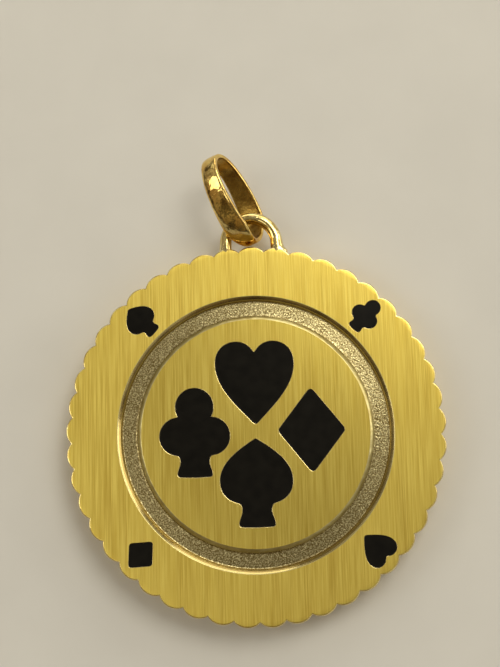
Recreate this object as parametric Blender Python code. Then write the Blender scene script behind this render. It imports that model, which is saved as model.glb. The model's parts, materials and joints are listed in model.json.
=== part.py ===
"""A chip-shaped gold medallion with eight enamel suits, a soldered rim loop and a swinging bail.

The medallion lies on its back: +Z points out of its face, +Y towards the loop, and the origin is the
centre of the flat back. Lengths are written in millimetres and turned into metres by MM.
"""

import math

import bmesh
import bpy
from mathutils import Matrix, Vector

MM = 0.001

# The disc
LOBE_TIP_RADIUS = 18.0
NOTCH_RADIUS = 17.52
LOBES = 45
THICKNESS = 3.0
EDGE_ROUND = 0.26
STEPS_PER_LOBE = 6

# The turned groove between the centre and the rim band
GROOVE_OUTER_RADIUS = 13.1
GROOVE_INNER_RADIUS = 10.85
GROOVE_DEPTH = 0.45
OUTER_SLOPE = 0.45
INNER_SLOPE = 0.35
GROOVE_STEPS = 120

# The enamel in its pockets
POCKET_DEPTH = 0.55
ENAMEL_DROP = 0.06
FIT_GAP = 0.04

# The large suits: the middle of each outline's height, on the centre of the disc
HEART_PLACE = (0.03, 4.72)
DIAMOND_PLACE = (5.3, 0.1)
SPADE_PLACE = (-0.02, -4.7)
CLUB_PLACE = (-5.76, 0.13)

# The small suits stand around the rim band, their tops outwards: bearing, radius and lean
CLUB_RIM_PLACE = (45.2, 15.34, 0)
SPADE_RIM_PLACE = (134.3, 15.33, 3.7)
DIAMOND_RIM_PLACE = (225.3, 15.6, 0)
HEART_RIM_PLACE = (315.1, 15.46, 0)

# Their size against the large suits, across and along
CLUB_RIM_SCALE = (0.41, 0.425)
SPADE_RIM_SCALE = (0.443, 0.418)
HEART_RIM_SCALE = (0.424, 0.394)

# The loop of round wire on the rim
LOOP_RADIUS = 2.45
LOOP_CENTRE_Y = 18.48
WIRE_RADIUS = 0.57
WIRE_HEIGHT = 2.42
WIRE_SIDES = 20
LOOP_STEPS = 26

# The bail: half sizes of its band's middle line, seen from the side, and its band
BAIL_HALF_LENGTH = 4.49
BAIL_HALF_DEPTH = 2.32
BAIL_ROUNDNESS = 2.14
BAND_THICKNESS = 0.5
BAND_FOOT_WIDTH = 1.4
BAND_WIDEST = 2.46
BAND_WIDEST_AT = 0.25
BAND_TOP_WIDTH = 1.69
BAIL_STEPS = 76

# The bail's hinge line runs across its band, inside the loop's wire. The bail lies turned and rolled
BAIL_HINGE = (-0.638, 20.444, 2.567)
HINGE_TO_BAIL_MIDDLE = (2.436, -0.082)
BAIL_YAW = 26.5
BAIL_PITCH = 17.7
BAIL_ROLL = 33.5


# ---------------------------------------------------------------- outlines


def bezier(start, pull_start, pull_end, end, steps):
    """Points along a cubic curve, without its last one."""
    points = []
    for step in range(steps):
        t = step / steps
        u = 1 - t
        weights = (u**3, 3 * u * u * t, 3 * u * t * t, t**3)
        knots = (start, pull_start, pull_end, end)
        points.append(tuple(sum(w * k[axis] for w, k in zip(weights, knots)) for axis in (0, 1)))
    return points


def arc(centre, radius, first, last, steps):
    """Points along an arc from one angle to another, in degrees, without its last one."""
    points = []
    for step in range(steps):
        angle = math.radians(first + (last - first) * step / steps)
        points.append((centre[0] + radius * math.cos(angle), centre[1] + radius * math.sin(angle)))
    return points


def fillet(before, corner, after, radius, steps=4):
    """Points of the round that replaces a corner between two straight sides."""
    corner = Vector(corner)
    to_before = (Vector(before) - corner).normalized()
    to_after = (Vector(after) - corner).normalized()
    half = to_before.angle(to_after) / 2
    back = radius / math.tan(half)
    centre = corner + (to_before + to_after).normalized() * radius / math.sin(half)
    first = corner + to_before * back - centre
    last = corner + to_after * back - centre
    turn = first.angle_signed(last)
    points = []
    for step in range(steps + 1):
        spoke = Matrix.Rotation(-turn * step / steps, 2) @ first
        points.append(tuple(centre + spoke))
    return points


def mirrored(right_side):
    """A closed outline from its right side, which runs from top to bottom."""
    left_side = [(-x, y) for x, y in reversed(right_side) if x > 1e-6]
    return right_side + left_side


def heart_outline(steps):
    top_of_lobe = (1.72, 3.96)
    widest = (3.75, 1.85)
    right = bezier((0.0, 2.85), (0.4, 3.55), (0.95, 3.96), top_of_lobe, steps)
    right += bezier(top_of_lobe, (2.95, 3.96), (3.75, 3.1), widest, steps)
    right += bezier(widest, (3.75, -0.5), (1.55, -2.35), (0.12, -3.92), steps + 2)
    right.append((0.12, -3.92))
    return mirrored(right)


def diamond_outline(steps, half_width=3.22, half_height=4.08, rounding=0.34):
    corners = [(0, half_height), (half_width, 0), (0, -half_height), (-half_width, 0)]
    points = []
    for index, corner in enumerate(corners):
        after = corners[(index + 1) % 4]
        points += fillet(corners[index - 1], corner, after, rounding, steps)
    return points


def stem(neck, foot, foot_round, steps):
    """The right side of the flared foot that a spade and a club stand on."""
    points = bezier(neck, (neck[0] - 0.06, neck[1] - 0.6), (foot[0] - 0.12, foot[1] + 0.7), foot, steps)
    below = (foot[0] + 0.04, foot[1] - foot_round)
    return points + fillet(foot, below, (0, below[1] - 0.06), foot_round * 0.8, 3)


def spade_outline(steps):
    widest = (3.43, 0.15)
    neck = (1.38, -2.4)
    right = bezier((0.0, 4.15), (1.2, 3.35), (3.43, 2.1), widest, steps + 2)
    right += bezier(widest, (3.43, -1.15), (2.45, -1.75), (1.75, -1.88), steps)
    right += bezier((1.75, -1.88), (1.5, -1.95), (1.4, -2.15), neck, 3)
    right += stem(neck, (1.7, -3.8), 0.3, 4)
    return mirrored(right)


def club_outline(steps):
    top_centre, top_radius = Vector((0.0, 2.4)), 1.82
    side_centre, side_radius = Vector((1.55, -0.36)), 1.8
    apart = side_centre - top_centre
    reach = (apart.length**2 + top_radius**2 - side_radius**2) / (2 * apart.length)
    across = math.sqrt(top_radius**2 - reach**2)
    outwards = Vector((-apart.y, apart.x)).normalized()
    crossing = top_centre + apart.normalized() * reach + outwards * across
    from_top = crossing - top_centre
    from_side = crossing - side_centre
    top_end = math.degrees(math.atan2(from_top.y, from_top.x))
    side_start = math.degrees(math.atan2(from_side.y, from_side.x))
    neck = (1.38, -2.6)
    right = arc(top_centre, top_radius, 90, top_end, steps)
    right += arc(side_centre, side_radius, side_start, -88, steps + 4)
    right += bezier((1.62, -2.16), (1.45, -2.2), (1.4, -2.35), neck, 3)
    right += stem(neck, (1.66, -3.9), 0.28, 4)
    return mirrored(right)


def scaled(outline, scale):
    return [(x * scale[0], y * scale[1]) for x, y in outline]


def inset(outline, distance):
    """The outline moved inwards by a distance, each point along the mean of its two sides' normals."""
    moved = []
    count = len(outline)
    for index, point in enumerate(outline):
        here = Vector(point)
        before = (here - Vector(outline[index - 1])).normalized()
        after = (Vector(outline[(index + 1) % count]) - here).normalized()
        inwards = Vector((before.y + after.y, -before.x - after.x)).normalized()
        lean = max(0.5, inwards.dot(Vector((before.y, -before.x))))
        moved.append(tuple(here + inwards * distance / lean))
    return moved


def rim_radius(angle):
    """The scalloped outline: lobes are arcs that meet in sharp notches, one lobe centred on +Y."""
    pitch = 2 * math.pi / LOBES
    half_chord = NOTCH_RADIUS * math.sin(pitch / 2)
    rise = LOBE_TIP_RADIUS - NOTCH_RADIUS * math.cos(pitch / 2)
    lobe_radius = (half_chord**2 + rise**2) / (2 * rise)
    centre = LOBE_TIP_RADIUS - lobe_radius
    off = (angle - math.pi / 2 + pitch / 2) % pitch - pitch / 2
    return centre * math.cos(off) + math.sqrt(lobe_radius**2 - (centre * math.sin(off)) ** 2)


def rim_outline(inset_by):
    """The rim's points, with one on every notch and the same number on every lobe."""
    steps = LOBES * STEPS_PER_LOBE
    first = math.pi / 2 + math.pi / LOBES
    points = []
    for step in range(steps):
        angle = first + 2 * math.pi * step / steps
        radius = rim_radius(angle) - inset_by
        points.append((radius * math.cos(angle), radius * math.sin(angle)))
    return points


def rim_height_above(x):
    """The Y of the lobed rim above a given X, near the top of the disc."""
    y = LOBE_TIP_RADIUS
    for _ in range(30):
        y = math.sqrt(rim_radius(math.atan2(y, x)) ** 2 - x * x)
    return y


# ---------------------------------------------------------------- meshes


def metal(name, colour, roughness, metallic=1.0):
    material = bpy.data.materials.new(name)
    material.use_nodes = True
    shader = material.node_tree.nodes["Principled BSDF"]
    shader.inputs["Base Color"].default_value = (*colour, 1)
    shader.inputs["Roughness"].default_value = roughness
    shader.inputs["Metallic"].default_value = metallic
    material.diffuse_color = (*colour, 1)
    return material


def shade(data):
    """Smooth shading that stays crisp at edges."""
    data.shade_smooth()
    data.set_sharp_from_angle(angle=math.radians(28))


def skin(name, sections, material, closed=False):
    """An object from a row of sections with the same number of points, each joined to the next.

    An open row is capped at both ends. A closed row joins its last section to its first.
    """
    mesh = bmesh.new()
    rings = [[mesh.verts.new(Vector(point) * MM) for point in section] for section in sections]
    pairs = list(zip(rings, rings[1:]))
    if closed:
        pairs.append((rings[-1], rings[0]))
    else:
        mesh.faces.new(reversed(rings[0]))
        mesh.faces.new(rings[-1])
    for lower, upper in pairs:
        for index in range(len(lower)):
            after = (index + 1) % len(lower)
            mesh.faces.new((lower[index], lower[after], upper[after], upper[index]))
    bmesh.ops.recalc_face_normals(mesh, faces=mesh.faces)
    data = bpy.data.meshes.new(name)
    mesh.to_mesh(data)
    mesh.free()
    data.materials.append(material)
    shade(data)
    item = bpy.data.objects.new(name, data)
    bpy.context.scene.collection.objects.link(item)
    return item


def prism(name, outline, bottom, top, material):
    sections = [[(x, y, height) for x, y in outline] for height in (bottom, top)]
    return skin(name, sections, material)


def cut(item, cutter):
    """Takes the cutter's shape out of the item."""
    modifier = item.modifiers.new(cutter.name, "BOOLEAN")
    modifier.operation = "DIFFERENCE"
    modifier.solver = "EXACT"
    modifier.object = cutter


def finish_cuts(item, cutters):
    """Makes the cuts permanent, so that their edges can be shaded sharp, and removes the cutters."""
    bpy.context.view_layer.update()
    graph = bpy.context.evaluated_depsgraph_get()
    uncut = item.data
    item.data = bpy.data.meshes.new_from_object(item.evaluated_get(graph))
    item.modifiers.clear()
    bpy.data.meshes.remove(uncut)
    item.data.name = item.name
    shade(item.data)
    for cutter in cutters:
        bpy.data.objects.remove(cutter)


# ---------------------------------------------------------------- pieces


def make_disc(gold):
    """The scalloped plate with rounded edges, its turned groove cut between centre and rim."""
    soft = EDGE_ROUND * (1 - math.sqrt(0.5))
    profile = [(EDGE_ROUND, 0), (soft, soft), (0, EDGE_ROUND)]
    profile += [(inset_by, THICKNESS - height) for inset_by, height in reversed(profile)]
    sections = [[(x, y, z) for x, y in rim_outline(inset_by)] for inset_by, z in profile]
    disc = skin("medallion_disc", sections, gold)
    floor = THICKNESS - GROOVE_DEPTH
    above = THICKNESS + GROOVE_DEPTH
    ring = [
        (GROOVE_INNER_RADIUS - INNER_SLOPE, above),
        (GROOVE_INNER_RADIUS + INNER_SLOPE, floor),
        (GROOVE_OUTER_RADIUS - OUTER_SLOPE, floor),
        (GROOVE_OUTER_RADIUS + OUTER_SLOPE, above),
    ]
    turns = []
    for step in range(GROOVE_STEPS):
        angle = 2 * math.pi * step / GROOVE_STEPS
        turns.append([(r * math.cos(angle), r * math.sin(angle), z) for r, z in ring])
    cutter = skin("groove_cutter", turns, gold, closed=True)
    cut(disc, cutter)
    return disc, cutter


def make_inlay(name, disc, outline, place, turn, enamel):
    """Sinks a pocket of the outline's shape into the disc, and fills it with enamel."""
    pocket_floor = THICKNESS - POCKET_DEPTH
    pocket = prism(f"{name}_pocket", outline, pocket_floor, THICKNESS + POCKET_DEPTH, enamel)
    enamel_top = THICKNESS - ENAMEL_DROP
    inlay = prism(name, inset(outline, FIT_GAP), pocket_floor + FIT_GAP, enamel_top, enamel)
    for item in (pocket, inlay):
        item.location = (place[0] * MM, place[1] * MM, 0)
        item.rotation_euler = (0, 0, turn)
    cut(disc, pocket)
    inlay.parent = disc
    return pocket


def make_centre_inlays(disc, enamel):
    suits = (
        ("heart_inlay", heart_outline(8), HEART_PLACE),
        ("diamond_inlay", diamond_outline(5), DIAMOND_PLACE),
        ("spade_inlay", spade_outline(8), SPADE_PLACE),
        ("club_inlay", club_outline(9), CLUB_PLACE),
    )
    return [make_inlay(name, disc, outline, place, 0, enamel) for name, outline, place in suits]


def make_rim_inlays(disc, enamel):
    small_diamond = diamond_outline(3, half_width=1.5, half_height=1.66, rounding=0.16)
    suits = (
        ("club_rim_inlay", scaled(club_outline(6), CLUB_RIM_SCALE), CLUB_RIM_PLACE),
        ("spade_rim_inlay", scaled(spade_outline(5), SPADE_RIM_SCALE), SPADE_RIM_PLACE),
        ("diamond_rim_inlay", small_diamond, DIAMOND_RIM_PLACE),
        ("heart_rim_inlay", scaled(heart_outline(5), HEART_RIM_SCALE), HEART_RIM_PLACE),
    )
    pockets = []
    for name, outline, (bearing, radius, lean) in suits:
        angle = math.radians(bearing)
        place = (radius * math.cos(angle), radius * math.sin(angle))
        upright = math.radians(bearing - 90 + lean)
        pockets.append(make_inlay(name, disc, outline, place, upright, enamel))
    return pockets


def loop_path():
    """The loop's middle line from foot to foot: (place, sideways direction) pairs in the loop's plane."""
    foot = LOOP_CENTRE_Y - 0.12
    path = [((LOOP_RADIUS, foot), (1.0, 0.0))]
    for step in range(LOOP_STEPS + 1):
        angle = math.pi * step / LOOP_STEPS
        out = (math.cos(angle), math.sin(angle))
        path.append(((LOOP_RADIUS * out[0], LOOP_CENTRE_Y + LOOP_RADIUS * out[1]), out))
    path.append(((-LOOP_RADIUS, foot), (-1.0, 0.0)))
    return path


def make_loop(gold):
    """A half ring of wire whose two straight feet are cut to sit on the lobed rim."""
    sections = []
    for place, out in loop_path():
        section = []
        for side in range(WIRE_SIDES):
            around = 2 * math.pi * side / WIRE_SIDES
            away = WIRE_RADIUS * math.cos(around)
            height = WIRE_HEIGHT + WIRE_RADIUS * math.sin(around)
            section.append((place[0] + away * out[0], place[1] + away * out[1], height))
        sections.append(section)
    feet = []
    for section in (sections[0], sections[-1]):
        feet.append([(x, rim_height_above(x) + FIT_GAP, z) for x, _, z in section])
    return skin("rim_loop", [feet[0], *sections, feet[1]], gold)


def bail_middle_line():
    """The band's middle line seen from the side: (along, out) points and their outward normals."""
    line = []
    for step in range(BAIL_STEPS):
        angle = 2 * math.pi * step / BAIL_STEPS
        power = 2 / BAIL_ROUNDNESS
        along = BAIL_HALF_LENGTH * math.copysign(abs(math.cos(angle)) ** power, math.cos(angle))
        out = BAIL_HALF_DEPTH * math.copysign(abs(math.sin(angle)) ** power, math.sin(angle))
        line.append(Vector((along, out)))
    normals = []
    for step in range(BAIL_STEPS):
        run = line[(step + 1) % BAIL_STEPS] - line[step - 1]
        normals.append(Vector((run.y, -run.x)).normalized())
    return list(zip(line, normals))


def band_width(along):
    """Narrow at the foot that passes through the loop, widest just above it, slimmer at the top."""
    share = (along + BAIL_HALF_LENGTH) / (2 * BAIL_HALF_LENGTH)
    if share < BAND_WIDEST_AT:
        swell = math.sin(math.pi / 2 * share / BAND_WIDEST_AT)
        return BAND_FOOT_WIDTH + (BAND_WIDEST - BAND_FOOT_WIDTH) * swell
    slim = (share - BAND_WIDEST_AT) / (1 - BAND_WIDEST_AT)
    return BAND_WIDEST + (BAND_TOP_WIDTH - BAND_WIDEST) * slim


def band_section():
    """The band's cross-section as (share of half width, share of half thickness): flat in, crowned out."""
    crown = [(share, 1 - 0.45 * abs(share) ** 3) for share in (0.95, 0.7, 0.35, 0, -0.35, -0.7, -0.95)]
    right = [(0.9, -1), (1, -0.7), (1, 0.35)]
    left = [(-share, height) for share, height in reversed(right)]
    return right + crown + left


def make_bail(gold):
    """The closed band. Its origin is on its hinge line: X across the band, Y along it, Z out."""
    middle = Vector(HINGE_TO_BAIL_MIDDLE)
    sections = []
    for line, normal in bail_middle_line():
        half_width = band_width(line.x) / 2
        section = []
        for across, outwards in band_section():
            place = line + middle + normal * outwards * BAND_THICKNESS / 2
            section.append((across * half_width, place.x, place.y))
        sections.append(section)
    bail = skin("bail", sections, gold, closed=True)
    turn = Matrix.Rotation(math.radians(BAIL_YAW), 4, "Z")
    lift = Matrix.Rotation(math.radians(BAIL_PITCH), 4, "X")
    roll = Matrix.Rotation(-math.radians(BAIL_ROLL), 4, "Y")
    place = Matrix.Translation(Vector(BAIL_HINGE) * MM)
    bail.matrix_world = place @ turn @ lift @ roll
    return bail


def build():
    for item in list(bpy.data.objects):
        bpy.data.objects.remove(item)
    brushed_gold = metal("brushed_gold", (0.72, 0.49, 0.13), 0.38)
    soldered_gold = metal("soldered_gold", (0.74, 0.53, 0.17), 0.2)
    polished_gold = metal("polished_gold", (0.76, 0.53, 0.16), 0.12)
    enamel = metal("black_enamel", (0.008, 0.008, 0.007), 0.18, metallic=0.0)
    disc, groove_cutter = make_disc(brushed_gold)
    pockets = make_centre_inlays(disc, enamel) + make_rim_inlays(disc, enamel)
    finish_cuts(disc, [groove_cutter, *pockets])
    make_loop(soldered_gold)
    make_bail(polished_gold)


build()
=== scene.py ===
"""Looks for a chip-shaped gold medallion with enamel suits, a soldered loop and a swinging bail.

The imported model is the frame: +Z out of the face, +Y towards the loop, the origin in the middle of
the flat back. Lengths here are millimetres, turned into metres by MM, and angles are degrees. The main
sizes repeat the part's own.
"""

import json
import math

import bmesh
import bpy
import numpy as np
from mathutils import Matrix, Vector, noise
from mathutils.geometry import delaunay_2d_cdt


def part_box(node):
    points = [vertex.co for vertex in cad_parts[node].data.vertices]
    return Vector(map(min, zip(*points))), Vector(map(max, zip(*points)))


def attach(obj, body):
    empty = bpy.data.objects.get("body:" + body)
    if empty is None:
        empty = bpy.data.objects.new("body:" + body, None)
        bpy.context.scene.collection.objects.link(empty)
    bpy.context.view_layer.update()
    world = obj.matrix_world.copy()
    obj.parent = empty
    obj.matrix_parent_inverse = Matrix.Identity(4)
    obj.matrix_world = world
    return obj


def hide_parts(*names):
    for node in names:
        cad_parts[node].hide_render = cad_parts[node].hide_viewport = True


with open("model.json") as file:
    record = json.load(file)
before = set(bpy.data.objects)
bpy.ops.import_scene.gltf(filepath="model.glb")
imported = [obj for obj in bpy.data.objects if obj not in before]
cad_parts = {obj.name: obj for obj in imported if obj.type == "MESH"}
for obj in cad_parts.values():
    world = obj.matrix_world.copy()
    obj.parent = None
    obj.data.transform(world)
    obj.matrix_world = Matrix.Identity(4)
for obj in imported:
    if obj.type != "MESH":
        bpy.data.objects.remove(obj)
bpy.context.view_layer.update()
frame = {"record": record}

MM = 0.001
WELD = 0.0005  # points of a mesh that are closer than this become one
NEARNESS = 1e-7  # numbers that differ by less are the same
BODY = "medallion"
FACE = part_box("medallion_disc")[1][2] / MM

# The disc's rim. Its face rolls over slightly, from a circle outwards.
LOBE_TIP_RADIUS = 18.0
NOTCH_RADIUS = 17.52
LOBES = 45
STEPS_PER_LOBE = 14
ROLL_START = 17.4
ROLL_DROP = 0.05
ROLL_STEPS = 7
EDGE_ROUND = 0.14
BACK_ROUND = 0.26
ROUND_STEPS = 4
UV_SPAN = 40

# The turned groove, whose floor leans down outwards, and the brushed island inside it
GROOVE_OUTER_RADIUS = 13.1
GROOVE_INNER_RADIUS = 10.85
GROOVE_DEPTH = 0.45
OUTER_SLOPE = 0.45
INNER_SLOPE = 0.35
LIP = 0.036
GROOVE_STEPS = 1080
FLOOR_RINGS = 20
FLOOR_LEAN = 0.05
GRAIN_SIZE = 0.125
GRAIN_HEIGHT = 0.018
ISLAND_CROWN = 0.36

# The enamel suits. A corner is eased over a reach, and a toe is the size of the round under a foot.
POCKET_DEPTH = 0.42
POCKET_LIP = 0.045
POCKET_LIP_DROP = 0.7
OUTLINE_STEP = 0.045
EASE = 0.12
SMALL_EASE = 0.15
SMALL_FINENESS = 0.6
RIM_TOE = 0.7
BASE_BOW = 0.06
ENAMEL_DROP = 0.06
HEART_PLACE = (0.03, 4.72)
DIAMOND_PLACE = (5.3, 0.1)
SPADE_PLACE = (-0.02, -4.7)
CLUB_PLACE = (-5.76, 0.13)

# The four small suits: bearing, distance from the middle, extra turn
CLUB_RIM_PLACE = (45.2, 15.34, 0)
SPADE_RIM_PLACE = (134.3, 15.33, 3.7)
DIAMOND_RIM_PLACE = (225.3, 15.6, 0)
HEART_RIM_PLACE = (315.1, 15.46, 0)
CLUB_RIM_SCALE = (0.41, 0.425)
SPADE_RIM_SCALE = (0.443, 0.418)
HEART_RIM_SCALE = (0.424, 0.394)

# The loop of round wire, and the solder that swells its feet
LOOP_RADIUS = 2.45
LOOP_CENTRE_Y = 18.48
LOOP_FOOT_Y = 17.3
LOOP_STEPS = 72
LEG_STEPS = 10
WIRE_RADIUS = 0.57
WIRE_HEIGHT = 2.42
WIRE_SIDES = 32
SOLDER_SPREAD_LEFT = 0.2
SOLDER_SPREAD_RIGHT = 0.9
SOLDER_START = LOBE_TIP_RADIUS - 0.3
SOLDER_RISE = 0.4

# The bail. A side of the band under this share of its half thickness faces inwards.
INNER_SIDE = -0.9
BAIL_HALF_LENGTH = 4.49
BAIL_HALF_DEPTH = 2.32
BAIL_ROUNDNESS = 2.14
BAND_THICKNESS = 0.5
BAND_FOOT_WIDTH = 1.4
BAND_WIDEST = 2.46
BAND_WIDEST_AT = 0.25
BAND_TOP_WIDTH = 1.69
BAIL_STEPS = 180
HINGE_TO_BAIL_MIDDLE = (2.436, -0.082)
BAIL_YAW = 26.5
BAIL_PITCH = 17.7
BAIL_ROLL = 33.5

# The studio and the camera
FLOOR_HALF_WIDTH = 4000
FLOOR_BELOW = 0.02
WARM = (1.0, 0.95, 0.80)
UP = (0, 0, 1)
BRIGHT_SIDE = (0.5, 0.8, 0.35)
DIM_SIDE = (-0.5, -0.85, 0.1)
BACKDROP_STRENGTH = 0.5
LENS = 59.37
SENSOR_WIDTH = 36
EYE_OVER_FACE = (2.23, -7.35, 103.92)
EYE_TURN = (9.147, 1.617, -1.406)


# ---------------------------------------------------------------- outlines


def bezier(start, pull_start, pull_end, end, steps):
    """Points along a cubic curve, without its last one."""
    points = []
    for step in range(steps):
        t = step / steps
        u = 1 - t
        weights = (u**3, 3 * u * u * t, 3 * u * t * t, t**3)
        knots = (start, pull_start, pull_end, end)
        points.append(tuple(sum(w * k[axis] for w, k in zip(weights, knots)) for axis in (0, 1)))
    return points


def arc(centre, radius, first, last, steps):
    """Points along an arc from one angle to another, in degrees, without its last one."""
    points = []
    for step in range(steps):
        angle = math.radians(first + (last - first) * step / steps)
        points.append((centre[0] + radius * math.cos(angle), centre[1] + radius * math.sin(angle)))
    return points


def straight(start, end, steps):
    """Points along a line, without either end."""
    return [tuple(Vector(start).lerp(Vector(end), step / steps)) for step in range(1, steps)]


def fillet(before, corner, after, radius, steps=6):
    """Points of the round that replaces a corner between two straight sides."""
    corner = Vector(corner)
    to_before = (Vector(before) - corner).normalized()
    to_after = (Vector(after) - corner).normalized()
    half = to_before.angle(to_after) / 2
    back = radius / math.tan(half)
    centre = corner + (to_before + to_after).normalized() * radius / math.sin(half)
    first = corner + to_before * back - centre
    last = corner + to_after * back - centre
    turn = first.angle_signed(last)
    points = []
    for step in range(steps + 1):
        spoke = Matrix.Rotation(-turn * step / steps, 2) @ first
        points.append(tuple(centre + spoke))
    return points


def mirrored(right_side):
    """A closed outline from its right side, which runs from top to bottom."""
    left_side = [(-x, y) for x, y in reversed(right_side) if x > NEARNESS]
    return right_side + left_side


def heart_outline():
    """A heart with a slightly blunt tip."""
    top_of_lobe = (1.72, 3.96)
    widest = (3.75, 1.85)
    tip = (0.12, -3.92)
    right = bezier((0.0, 2.85), (0.4, 3.55), (0.95, 3.96), top_of_lobe, 14)
    right += bezier(top_of_lobe, (2.95, 3.96), (3.75, 3.1), widest, 20)
    right += bezier(widest, (3.75, -0.5), (1.55, -2.35), tip, 30)
    right.append(tip)
    return mirrored(right)


def diamond_outline(half_width=3.22, half_height=4.08, rounding=0.34):
    """A diamond with rounded corners."""
    corners = [(0, half_height), (half_width, 0), (0, -half_height), (-half_width, 0)]
    points = []
    for index, corner in enumerate(corners):
        after = corners[(index + 1) % 4]
        rounded = fillet(corners[index - 1], corner, after, rounding)
        if points:
            points += straight(points[-1], rounded[0], 12)
        points += rounded
    return points + straight(points[-1], points[0], 12)


def stem(neck, foot, foot_round):
    """The right side of the flared foot that a spade and a club stand on, with a slightly bowed base."""
    points = bezier(neck, (neck[0] - 0.06, neck[1] - 0.6), (foot[0] - 0.12, foot[1] + 0.7), foot, 12)
    corner = (foot[0] + 0.04, foot[1] - foot_round)
    base = (0, corner[1] - BASE_BOW)
    points += fillet(foot, corner, base, foot_round * 0.8)
    return points + straight(points[-1], base, 6) + [base]


def spade_outline(toe=0.3):
    """A spade. A larger toe rounds its foot more."""
    widest = (3.43, 0.15)
    neck = (1.38, -2.4)
    right = bezier((0.0, 4.15), (1.2, 3.35), (3.43, 2.1), widest, 30)
    right += bezier(widest, (3.43, -1.15), (2.45, -1.75), (1.75, -1.88), 18)
    right += bezier((1.75, -1.88), (1.5, -1.95), (1.4, -2.15), neck, 6)
    right += stem(neck, (1.7, toe - 4.1), toe)
    return mirrored(right)


def club_outline(toe=0.28):
    """A club: a top lobe that meets a side lobe where their circles cross, and a foot."""
    top_centre, top_radius = Vector((0.0, 2.4)), 1.82
    side_centre, side_radius = Vector((1.55, -0.36)), 1.8
    apart = side_centre - top_centre
    reach = (apart.length**2 + top_radius**2 - side_radius**2) / (2 * apart.length)
    across = math.sqrt(top_radius**2 - reach**2)
    outwards = Vector((-apart.y, apart.x)).normalized()
    crossing = top_centre + apart.normalized() * reach + outwards * across
    from_top = crossing - top_centre
    from_side = crossing - side_centre
    top_end = math.degrees(math.atan2(from_top.y, from_top.x))
    side_start = math.degrees(math.atan2(from_side.y, from_side.x))
    neck = (1.38, -2.6)
    right = arc(top_centre, top_radius, 90, top_end, 24)
    right += arc(side_centre, side_radius, side_start, -88, 30)
    right += bezier((1.62, -2.16), (1.45, -2.2), (1.4, -2.35), neck, 6)
    right += stem(neck, (1.66, toe - 4.18), toe)
    return mirrored(right)


def scaled(outline, scale):
    """The outline stretched by one share across and another along."""
    return [(x * scale[0], y * scale[1]) for x, y in outline]


def placed(outline, place, turn):
    """The outline turned by an angle in degrees and moved to its place."""
    spin = Matrix.Rotation(math.radians(turn), 2)
    return [tuple(spin @ Vector(point) + Vector(place)) for point in outline]


def inset(outline, distance):
    """The smooth clockwise outline moved inwards."""
    here = np.array(outline)
    along = np.roll(here, -1, axis=0) - np.roll(here, 1, axis=0)
    along /= np.linalg.norm(along, axis=1)[:, None]
    moved = here + np.stack([along[:, 1], -along[:, 0]], axis=1) * distance
    return [tuple(point) for point in moved]


def softened(outline, reach):
    """The closed outline with evenly spaced points and its corners eased over a reach."""
    corners = np.array(outline + outline[:1])
    run = np.append(0, np.cumsum(np.linalg.norm(np.diff(corners, axis=0), axis=1)))
    places = np.linspace(0, run[-1], round(run[-1] / OUTLINE_STEP), endpoint=False)
    points = np.stack([np.interp(places, run, corners[:, axis]) for axis in (0, 1)], axis=1)
    for _ in range(round(2 * (reach / OUTLINE_STEP) ** 2)):
        points = points / 2 + (np.roll(points, 1, axis=0) + np.roll(points, -1, axis=0)) / 4
    return [tuple(point) for point in points]


def rim_radius(angle):
    """The scalloped outline: lobes are arcs that meet in sharp notches, one lobe centred on +Y."""
    pitch = 2 * math.pi / LOBES
    half_chord = NOTCH_RADIUS * math.sin(pitch / 2)
    rise = LOBE_TIP_RADIUS - NOTCH_RADIUS * math.cos(pitch / 2)
    lobe_radius = (half_chord**2 + rise**2) / (2 * rise)
    centre = LOBE_TIP_RADIUS - lobe_radius
    off = (angle - math.pi / 2 + pitch / 2) % pitch - pitch / 2
    return centre * math.cos(off) + math.sqrt(lobe_radius**2 - (centre * math.sin(off)) ** 2)


def suits():
    """Each suit's name, outline on the face, and how fine its edges are."""
    found = [
        ("heart_inlay", placed(softened(heart_outline(), EASE), HEART_PLACE, 0), 1.0),
        ("diamond_inlay", placed(softened(diamond_outline(), EASE), DIAMOND_PLACE, 0), 1.0),
        ("spade_inlay", placed(softened(spade_outline(), EASE), SPADE_PLACE, 0), 1.0),
        ("club_inlay", placed(softened(club_outline(), EASE), CLUB_PLACE, 0), 1.0),
    ]
    rim_suits = (
        ("club_rim_inlay", scaled(club_outline(RIM_TOE), CLUB_RIM_SCALE), CLUB_RIM_PLACE),
        ("spade_rim_inlay", scaled(spade_outline(RIM_TOE), SPADE_RIM_SCALE), SPADE_RIM_PLACE),
        ("diamond_rim_inlay", diamond_outline(1.5, 1.66, 0.16), DIAMOND_RIM_PLACE),
        ("heart_rim_inlay", scaled(heart_outline(), HEART_RIM_SCALE), HEART_RIM_PLACE),
    )
    for name, outline, (bearing, radius, lean) in rim_suits:
        angle = math.radians(bearing)
        place = (radius * math.cos(angle), radius * math.sin(angle))
        turned = placed(softened(outline, SMALL_EASE), place, bearing - 90 + lean)
        found.append((name, turned, SMALL_FINENESS))
    return found


# ---------------------------------------------------------------- meshes

ONLY_INSIDE = 1  # the triangulation leaves out what lies outside every outline


def turns_left(ring):
    """Whether a closed ring of vertices runs counter-clockwise, seen from above."""
    places = [vertex.co.to_2d() for vertex in ring]
    return sum(before.cross(here) for before, here in zip([places[-1], *places], places)) > 0


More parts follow.
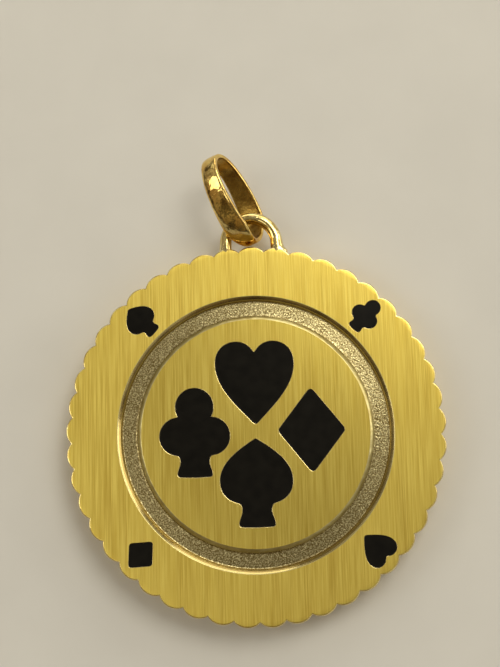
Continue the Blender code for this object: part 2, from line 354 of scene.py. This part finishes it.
class Shell:
    """A mesh made of rings of points joined by smooth strips, and of flat plates between rings."""

    def __init__(self):
        self.mesh = bmesh.new()

    def ring(self, points):
        """New points in millimetres, to be joined in this order."""
        return [self.mesh.verts.new(Vector(point) * MM) for point in points]

    def strip(self, first, second, slot=0):
        """Joins two rings with the same number of points."""
        for index in range(len(first)):
            after = (index + 1) % len(first)
            face = self.mesh.faces.new((first[index], first[after], second[after], second[index]))
            face.smooth = True
            face.material_index = slot

    def strips(self, rings, slot=0):
        """Joins each ring to the next."""
        for first, second in zip(rings, rings[1:]):
            self.strip(first, second, slot)

    def plate(self, outer, holes=(), slot=0):
        """Fills the space inside the outer ring and outside the holes with triangles."""
        vertices = []
        outlines = []
        for ring in (outer, *holes):
            places = range(len(vertices), len(vertices) + len(ring))
            outlines.append(list(places if turns_left(ring) else reversed(places)))
            vertices += ring
        flat = [vertex.co.to_2d() / MM for vertex in vertices]
        filled = delaunay_2d_cdt(flat, [], outlines, ONLY_INSIDE, NEARNESS)
        _, _, triangles, sources, _, owners = filled
        for triangle, lies_in in zip(triangles, owners):
            in_a_hole = len(lies_in) > 1
            if not in_a_hole:
                face = self.mesh.faces.new([vertices[sources[corner][0]] for corner in triangle])
                face.material_index = slot

    def finish(self, name, materials, crease=40):
        """Makes the object. Edges sharper than the crease angle, in degrees, stay crisp."""
        bmesh.ops.remove_doubles(self.mesh, verts=self.mesh.verts, dist=WELD * MM)
        bmesh.ops.recalc_face_normals(self.mesh, faces=self.mesh.faces)
        for edge in self.mesh.edges:
            edge.smooth = edge.calc_face_angle(0) < math.radians(crease)
        data = bpy.data.meshes.new(name)
        self.mesh.to_mesh(data)
        self.mesh.free()
        for material in materials:
            data.materials.append(material)
        item = bpy.data.objects.new(name, data)
        bpy.context.scene.collection.objects.link(item)
        return item


def flat_uv(item):
    """A UV map that lies over the face, so that brushing can follow +Y."""
    layer = item.data.uv_layers.new(name="face")
    for loop in item.data.loops:
        place = item.data.vertices[loop.vertex_index].co / MM / UV_SPAN
        layer.data[loop.index].uv = (place.x + 0.5, place.y + 0.5)


def quarter(steps):
    """(across, down) shares along a quarter round that starts level and ends upright."""
    angles = [math.pi / 2 * step / steps for step in range(steps + 1)]
    return [(math.sin(angle), 1 - math.cos(angle)) for angle in angles]


# ---------------------------------------------------------------- materials


class Nodes:
    """A short way to write a node tree."""

    def __init__(self, tree):
        self.tree = tree

    def node(self, kind, **settings):
        made = self.tree.nodes.new(kind)
        for name, value in settings.items():
            setattr(made, name, value)
        return made

    def link(self, start, end):
        self.tree.links.new(start, end)

    def map_range(self, value, low, high, to_low, to_high, interpolation="LINEAR"):
        made = self.node("ShaderNodeMapRange", interpolation_type=interpolation)
        names = ("From Min", "From Max", "To Min", "To Max")
        for name, number in zip(names, (low, high, to_low, to_high)):
            made.inputs[name].default_value = number
        self.link(value, made.inputs["Value"])
        return made.outputs["Result"]

    def blend(self, share, first, second):
        """A mix of two colours, each a tuple or another node's output."""
        made = self.node("ShaderNodeMix", data_type="RGBA")
        self.link(share, made.inputs["Factor"])
        for socket, colour in ((made.inputs["A"], first), (made.inputs["B"], second)):
            if isinstance(colour, tuple):
                socket.default_value = (*colour, 1)
            else:
                self.link(colour, socket)
        return made.outputs["Result"]

    def product(self, first, second):
        made = self.node("ShaderNodeMath", operation="MULTIPLY")
        self.link(first, made.inputs[0])
        self.link(second, made.inputs[1])
        return made.outputs["Value"]


class Finish(Nodes):
    """A material and its nodes. The values are the shader's constants."""

    def __init__(self, name, **values):
        self.material = bpy.data.materials.new(name)
        self.material.use_nodes = True
        super().__init__(self.material.node_tree)
        self.shader = self.tree.nodes["Principled BSDF"]
        for name, value in values.items():
            self.socket(name).default_value = value

    def socket(self, name):
        """The shader's socket, where an underscore stands for a space."""
        return self.shader.inputs[name.replace("_", " ")]

    def drive(self, **outputs):
        for name, output in outputs.items():
            self.link(output, self.socket(name))

    def stretched(self, scale):
        """Object coordinates in millimetres, multiplied along each axis."""
        place = self.node("ShaderNodeTexCoord").outputs["Object"]
        mapping = self.node("ShaderNodeMapping")
        mapping.inputs["Scale"].default_value = [share / MM for share in scale]
        self.link(place, mapping.inputs["Vector"])
        return mapping.outputs["Vector"]

    def noise(self, scale, detail=2.0, roughness=0.5):
        """Cloudy noise with so many waves to a millimetre along each axis."""
        made = self.node("ShaderNodeTexNoise")
        made.inputs["Scale"].default_value = 1.0
        made.inputs["Detail"].default_value = detail
        made.inputs["Roughness"].default_value = roughness
        self.link(self.stretched(scale), made.inputs["Vector"])
        return made.outputs["Fac"]

    def bump(self, height, distance, strength=1.0, below=None):
        """A bent normal. The distance is in millimetres, and below is the normal that it starts from."""
        made = self.node("ShaderNodeBump")
        made.inputs["Distance"].default_value = distance * MM
        made.inputs["Strength"].default_value = strength
        self.link(height, made.inputs["Height"])
        if below:
            self.link(below, made.inputs["Normal"])
        return made.outputs["Normal"]

    def crown(self, rise):
        """The normal of a face that is very slightly domed, more across the brushing than along it."""
        across = 1 / GROOVE_INNER_RADIUS
        away = self.node("ShaderNodeVectorMath", operation="LENGTH")
        self.link(self.stretched((across, 0.6 * across, 0)), away.inputs[0])
        squared = self.node("ShaderNodeMath", operation="POWER")
        squared.inputs[1].default_value = 2.0
        self.link(away.outputs["Value"], squared.inputs[0])
        return self.bump(self.map_range(squared.outputs["Value"], 0, 2, 2, 0), rise)


def toned(colour, tone):
    """The colour made darker by a share."""
    return tuple(part * tone for part in colour)


def brushed_gold(name, tone, dome=None):
    """Straight brushing along +Y: long fine scratches, soft lengthwise bands and a broad sheen."""
    gold = Finish(name, Metallic=1.0, Anisotropic=0.5)
    dark = toned((0.74, 0.53, 0.092), tone)
    pale = toned((0.85, 0.64, 0.122), tone)
    bright = toned((0.96, 0.78, 0.19), tone)
    fine = gold.noise((8.0, 0.13, 3.0), detail=3.0, roughness=0.6)
    bands = gold.noise((1.1, 0.05, 1.0))
    broad = gold.blend(gold.map_range(bands, 0.34, 0.66, 0, 1), dark, pale)
    streaks = gold.blend(gold.map_range(fine, 0.4, 0.64, 0, 0.85), broad, bright)
    tangent = gold.node("ShaderNodeTangent", direction_type="UV_MAP", uv_map="face")
    lean = gold.bump(bands, 0.02, 0.5, gold.crown(dome) if dome else None)
    gold.drive(
        Base_Color=streaks,
        Roughness=gold.map_range(fine, 0.25, 0.75, 0.36, 0.48),
        Tangent=tangent.outputs["Tangent"],
        Normal=gold.bump(fine, 0.012, 0.9, lean),
    )
    return gold.material


def polished_gold(name, roughness, light, dark):
    """Polished or satin gold with the soft unevenness and fine wear of a hand-finished piece."""
    gold = Finish(name, Metallic=1.0)
    tone = gold.noise((0.9, 0.9, 0.9), detail=3.0)
    wear = gold.noise((7.0, 7.0, 7.0), detail=4.0, roughness=0.65)
    hammered = gold.noise((1.1, 1.1, 1.1))
    gold.drive(
        Base_Color=gold.blend(gold.map_range(tone, 0.35, 0.65, 0, 1), dark, light),
        Roughness=gold.map_range(wear, 0.35, 0.7, roughness, roughness + 0.08),
        Normal=gold.bump(wear, 0.004, 0.5, gold.bump(hammered, 0.1, 0.6)),
    )
    return gold.material


def frosted_gold():
    """The sandblasted groove floor: rough, greyer than the face, and speckled with grains whose pale colour
    is a painted glint.
    """
    gold = Finish("frosted_gold", Metallic=1.0)
    dark = (0.20, 0.145, 0.05)
    less_dark = (0.26, 0.20, 0.085)
    glint = (0.95, 0.84, 0.47)
    grain = gold.noise((7.5, 7.5, 7.5), detail=3.0, roughness=0.75)
    patches = gold.noise((0.8, 0.8, 0.8))
    base = gold.blend(gold.map_range(patches, 0.35, 0.65, 0, 1), dark, less_dark)
    gold.drive(
        Base_Color=gold.blend(gold.map_range(grain, 0.47, 0.64, 0, 1), base, glint),
        Roughness=gold.map_range(grain, 0.3, 0.7, 0.42, 0.26),
        Normal=gold.bump(grain, 0.03, 0.6),
    )
    return gold.material


def turned_gold():
    """The groove's cut wall: bright, with the fine rings that the cutter left round it."""
    gold = Finish("turned_gold", Metallic=1.0)
    brown = (0.30, 0.17, 0.035)
    bright = (0.78, 0.67, 0.30)
    away = gold.node("ShaderNodeVectorMath", operation="LENGTH")
    gold.link(gold.stretched((1, 1, 1)), away.inputs[0])
    rings = gold.node("ShaderNodeTexNoise", noise_dimensions="1D")
    rings.inputs["Scale"].default_value = 14
    rings.inputs["Detail"].default_value = 2.0
    gold.link(away.outputs["Value"], rings.inputs["W"])
    marks = rings.outputs["Fac"]
    wear = gold.noise((3.0, 3.0, 3.0), detail=4.0, roughness=0.65)
    gold.drive(
        Base_Color=gold.blend(gold.map_range(marks, 0.35, 0.65, 0, 1), brown, bright),
        Roughness=gold.map_range(wear, 0.35, 0.7, 0.11, 0.22),
        Normal=gold.bump(wear, 0.006, 0.5, gold.bump(marks, 0.007, 0.8)),
    )
    return gold.material


def black_enamel():
    """Smooth fired enamel with a faint brown cast and the gentlest ripple."""
    enamel = Finish("black_enamel", Specular_IOR_Level=0.16)
    black = (0.0035, 0.003, 0.002)
    brownish = (0.006, 0.005, 0.003)
    cloud = enamel.noise((1.1, 1.1, 1.1), detail=3.0)
    enamel.drive(
        Base_Color=enamel.blend(enamel.map_range(cloud, 0.3, 0.7, 0, 1), black, brownish),
        Roughness=enamel.map_range(cloud, 0.3, 0.7, 0.28, 0.36),
        Normal=enamel.bump(cloud, 0.02, 0.35),
    )
    return enamel.material


def pale_floor_material():
    """Matt paper with the faintest unevenness."""
    paper = Finish("pale_floor", Roughness=0.85)
    cloud = paper.noise((0.12, 0.12, 0.12), detail=4.0)
    tone = paper.blend(paper.map_range(cloud, 0.3, 0.7, 0, 1), (0.71, 0.70, 0.68), (0.74, 0.73, 0.71))
    paper.drive(Base_Color=tone)
    return paper.material


# ---------------------------------------------------------------- the medallion

BRUSHED, POLISHED, FROSTED, TURNED, ISLAND, FLUTED, SATIN = range(7)


def medallion_golds():
    """The medallion's finishes, in the order of the slots above."""
    return [
        brushed_gold("brushed_gold", 1.0),
        polished_gold("polished_edge_gold", 0.16, (0.92, 0.80, 0.42), (0.78, 0.62, 0.26)),
        frosted_gold(),
        turned_gold(),
        # The island's copy of the brushed gold is darkened to 0.8 of the ring's colour: painted shade.
        brushed_gold("shaded_brushed_island_gold", 0.8, ISLAND_CROWN),
        polished_gold("fluted_side_gold", 0.2, (0.88, 0.65, 0.20), (0.79, 0.56, 0.15)),
        polished_gold("satin_edge_gold", 0.3, (0.76, 0.68, 0.34), (0.58, 0.48, 0.20)),
    ]


def circle(radius, height):
    """Points along a circle of the groove."""
    angles = [2 * math.pi * step / GROOVE_STEPS for step in range(GROOVE_STEPS)]
    return [(radius * math.cos(a), radius * math.sin(a), height) for a in angles]


def rim_ring(shell, share, inset_by, height):
    """A ring that runs from a circle where the share is 0 out to the scalloped rim where it is 1."""
    count = LOBES * STEPS_PER_LOBE
    first = math.pi / 2 + math.pi / LOBES
    points = []
    for step in range(count):
        angle = first + 2 * math.pi * step / count
        edge = rim_radius(angle) - inset_by
        radius = ROLL_START + (edge - ROLL_START) * share
        fall = ROLL_DROP * ((radius - ROLL_START) / (LOBE_TIP_RADIUS - ROLL_START)) ** 2
        z = height if height < FACE / 2 else height - fall
        points.append((radius * math.cos(angle), radius * math.sin(angle), z))
    return shell.ring(points)


def make_rim(shell):
    """The face's rolled-over edge, the fluted side and the back's edge. Returns the two plates' rings."""
    face_rings = []
    for step in range(ROLL_STEPS + 1):
        face_rings.append(rim_ring(shell, step / ROLL_STEPS, EDGE_ROUND, FACE))
    shell.strips(face_rings, BRUSHED)
    edge_rings = [face_rings[-1]]
    for across, down in quarter(ROUND_STEPS)[1:]:
        edge_rings.append(rim_ring(shell, 1, EDGE_ROUND * (1 - across), FACE - EDGE_ROUND * down))
    shell.strips(edge_rings, POLISHED)
    side_rings = [edge_rings[-1]]
    for share in (2 / 3, 1 / 3):
        side_rings.append(rim_ring(shell, 1, 0, share * FACE))
    for across, down in reversed(quarter(ROUND_STEPS)):
        side_rings.append(rim_ring(shell, 1, BACK_ROUND * (1 - across), BACK_ROUND * down))
    shell.strips(side_rings, FLUTED)
    return face_rings[0], side_rings[-1]


def grain_height(x, y):
    """How high the blasted floor's grains stand at a place."""
    near = Vector((x, y, 0)) / GRAIN_SIZE
    return GRAIN_HEIGHT * (noise.noise(near) + 0.6 * noise.noise(near * 2.1))


def groove_profile():
    """(radius, height) down the groove's outer wall from its lip, and up its inner wall from its foot."""
    floor = FACE - GROOVE_DEPTH
    low = floor - FLOOR_LEAN
    high = floor + FLOOR_LEAN
    outer_top = GROOVE_OUTER_RADIUS
    outer_foot = outer_top - OUTER_SLOPE
    inner_top = GROOVE_INNER_RADIUS
    inner_foot = inner_top + INNER_SLOPE
    outer_lip = ((1.0, 0.0), (0.45, 0.12), (-0.1, 0.45), (-1.0, 1.2))
    inner_lip = ((1.2, 1.1), (0.4, 0.55), (-0.3, 0.15), (-1.0, 0.0))
    down = [(outer_top + LIP * out, FACE - LIP * fall) for out, fall in outer_lip]
    down += [(outer_foot + 0.19, floor + 0.216), (outer_foot + 0.12, floor + 0.14)]
    down += [(outer_foot + 0.06, floor + 0.06), (outer_foot + 0.01, low + 0.05)]
    down += [(outer_foot - 0.03, low + 0.015), (outer_foot - 0.09, low)]
    up = [(inner_foot + 0.18, high), (inner_foot + 0.11, high + 0.012)]
    up += [(inner_foot + 0.05, high + 0.045), (inner_foot - 0.02, FACE - 0.295)]
    up += [(inner_top + 0.23, FACE - 0.19), (inner_top + 0.13, FACE - 0.1)]
    up += [(inner_top + LIP * out, FACE - LIP * fall) for out, fall in inner_lip]
    return down, up


def make_groove(shell):
    """The groove's cut walls and grainy floor. Returns the rings where the face's plates end."""
    down, up = groove_profile()
    outer_wall = [shell.ring(circle(radius, height)) for radius, height in down]
    inner_wall = [shell.ring(circle(radius, height)) for radius, height in up]
    floor_rings = [outer_wall[-1]]
    for step in range(1, FLOOR_RINGS):
        share = step / FLOOR_RINGS
        radius, height = (outer + (inner - outer) * share for outer, inner in zip(down[-1], up[0]))
        level = circle(radius, height)
        floor_rings.append(shell.ring([(x, y, z + grain_height(x, y)) for x, y, z in level]))
    floor_rings.append(inner_wall[0])
    shell.strips(outer_wall[:3], SATIN)
    shell.strips(outer_wall[2:-2], TURNED)
    shell.strips(outer_wall[-3:], FROSTED)
    shell.strips(floor_rings, FROSTED)
    shell.strips(inner_wall[:4], FROSTED)
    shell.strips(inner_wall[3:], SATIN)
    return outer_wall[0], inner_wall[-1]


def make_pocket(shell, outline, fineness):
    """A suit's pocket with a softly rounded lip. Returns the ring where the face's plate ends."""
    lip = POCKET_LIP * fineness
    rings = []
    for across, down in quarter(ROUND_STEPS):
        level = inset(outline, lip * (across - 1))
        rings.append(shell.ring([(x, y, FACE - lip * POCKET_LIP_DROP * down) for x, y in level]))
    rings.append(shell.ring([(x, y, FACE - POCKET_DEPTH) for x, y in outline]))
    shell.strips(rings, POLISHED)
    shell.plate(rings[-1], slot=POLISHED)
    return rings[0]


def make_medallion():
    """The disc with its groove and pockets. Its face is a ring outside the groove and an island inside."""
    shell = Shell()
    face_edge, back_edge = make_rim(shell)
    outer_lip, island_lip = make_groove(shell)
    island_holes = []
    ring_holes = []
    for name, outline, fineness in suits():
        holes = ring_holes if "rim" in name else island_holes
        holes.append(make_pocket(shell, outline, fineness))
    shell.plate(face_edge, [outer_lip, *ring_holes], BRUSHED)
    shell.plate(island_lip, island_holes, ISLAND)
    shell.plate(back_edge, slot=BRUSHED)
    item = shell.finish("gold_disc", medallion_golds())
    flat_uv(item)
    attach(item, BODY)
    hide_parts("medallion_disc")


def make_enamel(name, outline, fineness, material):
    """A closed pad of enamel that fills its pocket, its surface drawn up a little at the edges."""
    shell = Shell()
    surface = FACE - ENAMEL_DROP
    side = ((-0.004, -0.3), (-0.004, 0.02))
    edge = ((0.02, 0.006), (0.05, -0.002), (0.09, -0.006))
    rings = []
    for inset_by, height in side + edge:
        level = inset(outline, inset_by * fineness)
        rings.append(shell.ring([(x, y, surface + height) for x, y in level]))
    shell.strips(rings)
    shell.plate(rings[0])
    shell.plate(rings[-1])
    item = shell.finish(name.replace("inlay", "enamel"), [material])
    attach(item, BODY)
    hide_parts(name)


# ---------------------------------------------------------------- the loop and the bail


def loop_path():
    """The wire's middle line from foot to foot: places, and the direction out of the loop at each."""
    leg = LOOP_CENTRE_Y - LOOP_FOOT_Y
    leg_heights = [LOOP_FOOT_Y + leg * step / LEG_STEPS for step in range(LEG_STEPS)]
    path = [((LOOP_RADIUS, y), (1.0, 0.0)) for y in leg_heights]
    for step in range(LOOP_STEPS + 1):
        angle = math.pi * step / LOOP_STEPS
        out = (math.cos(angle), math.sin(angle))
        path.append(((LOOP_RADIUS * out[0], LOOP_CENTRE_Y + LOOP_RADIUS * out[1]), out))
    return path + [((-LOOP_RADIUS, y), (-1.0, 0.0)) for y in reversed(leg_heights)]


def make_loop():
    """The soldered loop: round wire that swells outwards into solder where its feet meet the rim."""
    shell = Shell()
    rings = []
    for place, out in loop_path():
        spread = SOLDER_SPREAD_RIGHT if place[0] > 0 else SOLDER_SPREAD_LEFT
        swell = 1 + spread * math.exp(-max(place[1] - SOLDER_START, 0) / SOLDER_RISE)
        section = []
        for side in range(WIRE_SIDES):
            around = 2 * math.pi * side / WIRE_SIDES
            away = WIRE_RADIUS * math.cos(around)
            away *= swell if away > 0 else 1
            height = WIRE_HEIGHT + WIRE_RADIUS * math.sin(around)
            section.append((place[0] + away * out[0], place[1] + away * out[1], height))
        rings.append(shell.ring(section))
    shell.strips(rings)
    shell.mesh.faces.new(rings[0])
    shell.mesh.faces.new(rings[-1])
    gold = polished_gold("soldered_gold", 0.1, (0.93, 0.78, 0.38), (0.76, 0.57, 0.20))
    item = shell.finish("soldered_loop", [gold])
    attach(item, BODY)
    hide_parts("rim_loop")


def bail_middle_line():
    """The band's middle line seen from the side: (along, out) points and their outward normals."""
    line = []
    for step in range(BAIL_STEPS):
        angle = 2 * math.pi * step / BAIL_STEPS
        power = 2 / BAIL_ROUNDNESS
        along = BAIL_HALF_LENGTH * math.copysign(abs(math.cos(angle)) ** power, math.cos(angle))
        out = BAIL_HALF_DEPTH * math.copysign(abs(math.sin(angle)) ** power, math.sin(angle))
        line.append(Vector((along, out)))
    normals = []
    for step in range(BAIL_STEPS):
        run = line[(step + 1) % BAIL_STEPS] - line[step - 1]
        normals.append(Vector((run.y, -run.x)).normalized())
    return list(zip(line, normals))


def band_width(along):
    """Narrow at the foot that passes through the loop, widest just above it, slimmer at the top."""
    share = (along + BAIL_HALF_LENGTH) / (2 * BAIL_HALF_LENGTH)
    if share < BAND_WIDEST_AT:
        swell = math.sin(math.pi / 2 * share / BAND_WIDEST_AT)
        return BAND_FOOT_WIDTH + (BAND_WIDEST - BAND_FOOT_WIDTH) * swell
    slim = (share - BAND_WIDEST_AT) / (1 - BAND_WIDEST_AT)
    return BAND_WIDEST + (BAND_TOP_WIDTH - BAND_WIDEST) * slim


def band_section():
    """The band's crowned cross-section, in shares of its half width and half thickness."""
    crown = [(share / 8, 1 - 0.4 * abs(share / 8) ** 3) for share in range(7, -8, -1)]
    right = [(0.88, -0.98), (0.95, -0.88), (0.99, -0.6), (1.0, -0.1), (0.99, 0.3), (0.95, 0.56)]
    left = [(-across, outwards) for across, outwards in reversed(right)]
    inner = [(-0.7, -1.0), (-0.4, -0.96), (0.0, -0.94), (0.4, -0.96), (0.7, -1.0)]
    return right + crown + left + inner


def make_bail():
    """The swinging band, placed on its hinge: X across the band, Y along it, Z out."""
    shell = Shell()
    middle = Vector(HINGE_TO_BAIL_MIDDLE)
    hinge = Vector(frame["record"]["behaviour"]["joints"][0]["pos_m"])
    turn = Matrix.Rotation(math.radians(BAIL_YAW), 4, "Z")
    lift = Matrix.Rotation(math.radians(BAIL_PITCH), 4, "X")
    roll = Matrix.Rotation(-math.radians(BAIL_ROLL), 4, "Y")
    place = Matrix.Translation(hinge / MM) @ turn @ lift @ roll
    section = band_section()
    rings = []
    for line, normal in bail_middle_line():
        half_width = band_width(line.x) / 2
        points = []
        for across, outwards in section:
            spot = line + middle + normal * outwards * BAND_THICKNESS / 2
            points.append(place @ Vector((across * half_width, spot.x, spot.y)))
        rings.append(shell.ring(points))
    shell.strips([*rings, rings[0]])
    for index, face in enumerate(shell.mesh.faces):
        start = section[index % len(section)]
        end = section[(index + 1) % len(section)]
        face.material_index = int((start[1] + end[1]) / 2 < INNER_SIDE)
    outer_gold = polished_gold("mirror_gold", 0.07, (0.90, 0.68, 0.24), (0.68, 0.43, 0.13))
    # The band's inner face is rougher from wear, and its darker colour is painted shade from the other
    # limb.
    inner_gold = polished_gold("worn_and_shaded_inner_gold", 0.26, (0.50, 0.33, 0.08), (0.28, 0.155, 0.03))
    item = shell.finish("swinging_bail", [outer_gold, inner_gold])
    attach(item, "bail")
    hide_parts("bail")


# ---------------------------------------------------------------- the studio


def make_floor():
    """The plain pale surface that the medallion lies on."""
    shell = Shell()
    half = FLOOR_HALF_WIDTH
    corners = [(-half, -half), (half, -half), (half, half), (-half, half)]
    shell.mesh.faces.new(shell.ring([(x, y, -FLOOR_BELOW) for x, y in corners]))
    shell.finish("pale_floor", [pale_floor_material()])


def softbox(name, place, size, power):
    """A warm area light in millimetres that faces the medallion."""
    light = bpy.data.lights.new(name, "AREA")
    light.shape = "RECTANGLE"
    light.size = size[0] * MM
    light.size_y = size[1] * MM
    light.energy = power
    light.color = WARM
    lamp = bpy.data.objects.new(name, light)
    lamp.location = Vector(place) * MM
    lamp.rotation_euler = (-Vector(place)).to_track_quat("-Z", "Y").to_euler()
    bpy.context.scene.collection.objects.link(lamp)


def make_lights():
    """A large key light above on the right, two low ones behind and beside it, and two on the left."""
    softbox("key", (165, 225, 380), (240, 240), 0.78)
    softbox("window", (60, 355, 105), (330, 160), 0.26)
    softbox("side", (360, 110, 100), (260, 150), 0.23)
    softbox("left", (-281, 4, 232), (135, 175), 0.17)
    softbox("front_left", (-150, -110, 360), (120, 120), 0.07)


def make_world():
    """A soft, uneven room: dim at the horizon and where a person would stand, lighter by the window."""
    world = bpy.data.worlds.new("studio")
    world.use_nodes = True
    nodes = Nodes(world.node_tree)
    direction = nodes.node("ShaderNodeTexCoord").outputs["Generated"]

    def smooth(value, *limits):
        return nodes.map_range(value, *limits, interpolation="SMOOTHSTEP")

    def facing(towards, *limits):
        """A number that changes smoothly as the direction turns towards another."""
        dot = nodes.node("ShaderNodeVectorMath", operation="DOT_PRODUCT")
        dot.inputs[1].default_value = Vector(towards).normalized()
        nodes.link(direction, dot.inputs[0])
        return smooth(dot.outputs["Value"], *limits)

    patches = nodes.node("ShaderNodeTexNoise")
    patches.inputs["Scale"].default_value = 5.5
    patches.inputs["Detail"].default_value = 2.5
    nodes.link(direction, patches.inputs["Vector"])
    cloud = patches.outputs["Fac"]
    walls = facing(UP, 0.08, 0.42, 0.03, 0.5)
    ceiling = facing(UP, 0.55, 0.97, 1.0, 0.38)
    side = facing(BRIGHT_SIDE, -0.6, 0.9, 0.8, 1.3)
    uneven = smooth(cloud, 0.36, 0.62, 0.35, 1.6)
    person = facing(DIM_SIDE, 0.35, 0.75, 1.0, 0.5)
    strength = nodes.product(nodes.product(walls, ceiling), nodes.product(side, uneven))
    tint = nodes.blend(smooth(cloud, 0.38, 0.6, 0, 1), (1.0, 0.80, 0.55), (1.0, 0.97, 0.86))
    room = world.node_tree.nodes["Background"]
    nodes.link(nodes.blend(facing(DIM_SIDE, 0.3, 0.7, 0, 1), tint, (1.0, 0.76, 0.42)), room.inputs["Color"])
    nodes.link(nodes.product(strength, person), room.inputs["Strength"])
    backdrop = nodes.node("ShaderNodeBackground")
    backdrop.inputs["Color"].default_value = (0.74, 0.71, 0.66, 1)
    backdrop.inputs["Strength"].default_value = BACKDROP_STRENGTH
    both = nodes.node("ShaderNodeMixShader")
    nodes.link(facing(UP, 0.1, 0.17, 0, 1), both.inputs["Fac"])
    nodes.link(backdrop.outputs["Background"], both.inputs[1])
    nodes.link(room.outputs["Background"], both.inputs[2])
    nodes.link(both.outputs["Shader"], world.node_tree.nodes["World Output"].inputs["Surface"])
    bpy.context.scene.world = world


def make_camera():
    """A hand-held close-up from nearly straight above, with the loop at the top."""
    camera = bpy.data.cameras.new("close_up")
    camera.lens = LENS
    camera.sensor_width = SENSOR_WIDTH
    camera.clip_start = 5 * MM
    eye = bpy.data.objects.new("close_up", camera)
    eye.location = (Vector(EYE_OVER_FACE) + Vector((0, 0, FACE))) * MM
    eye.rotation_euler = [math.radians(angle) for angle in EYE_TURN]
    bpy.context.scene.collection.objects.link(eye)
    bpy.context.scene.camera = eye


def main():
    bpy.context.scene.view_settings.view_transform = "Standard"
    make_medallion()
    enamel = black_enamel()
    for name, outline, fineness in suits():
        make_enamel(name, outline, fineness, enamel)
    make_loop()
    make_bail()
    make_floor()
    make_lights()
    make_world()
    make_camera()


main()
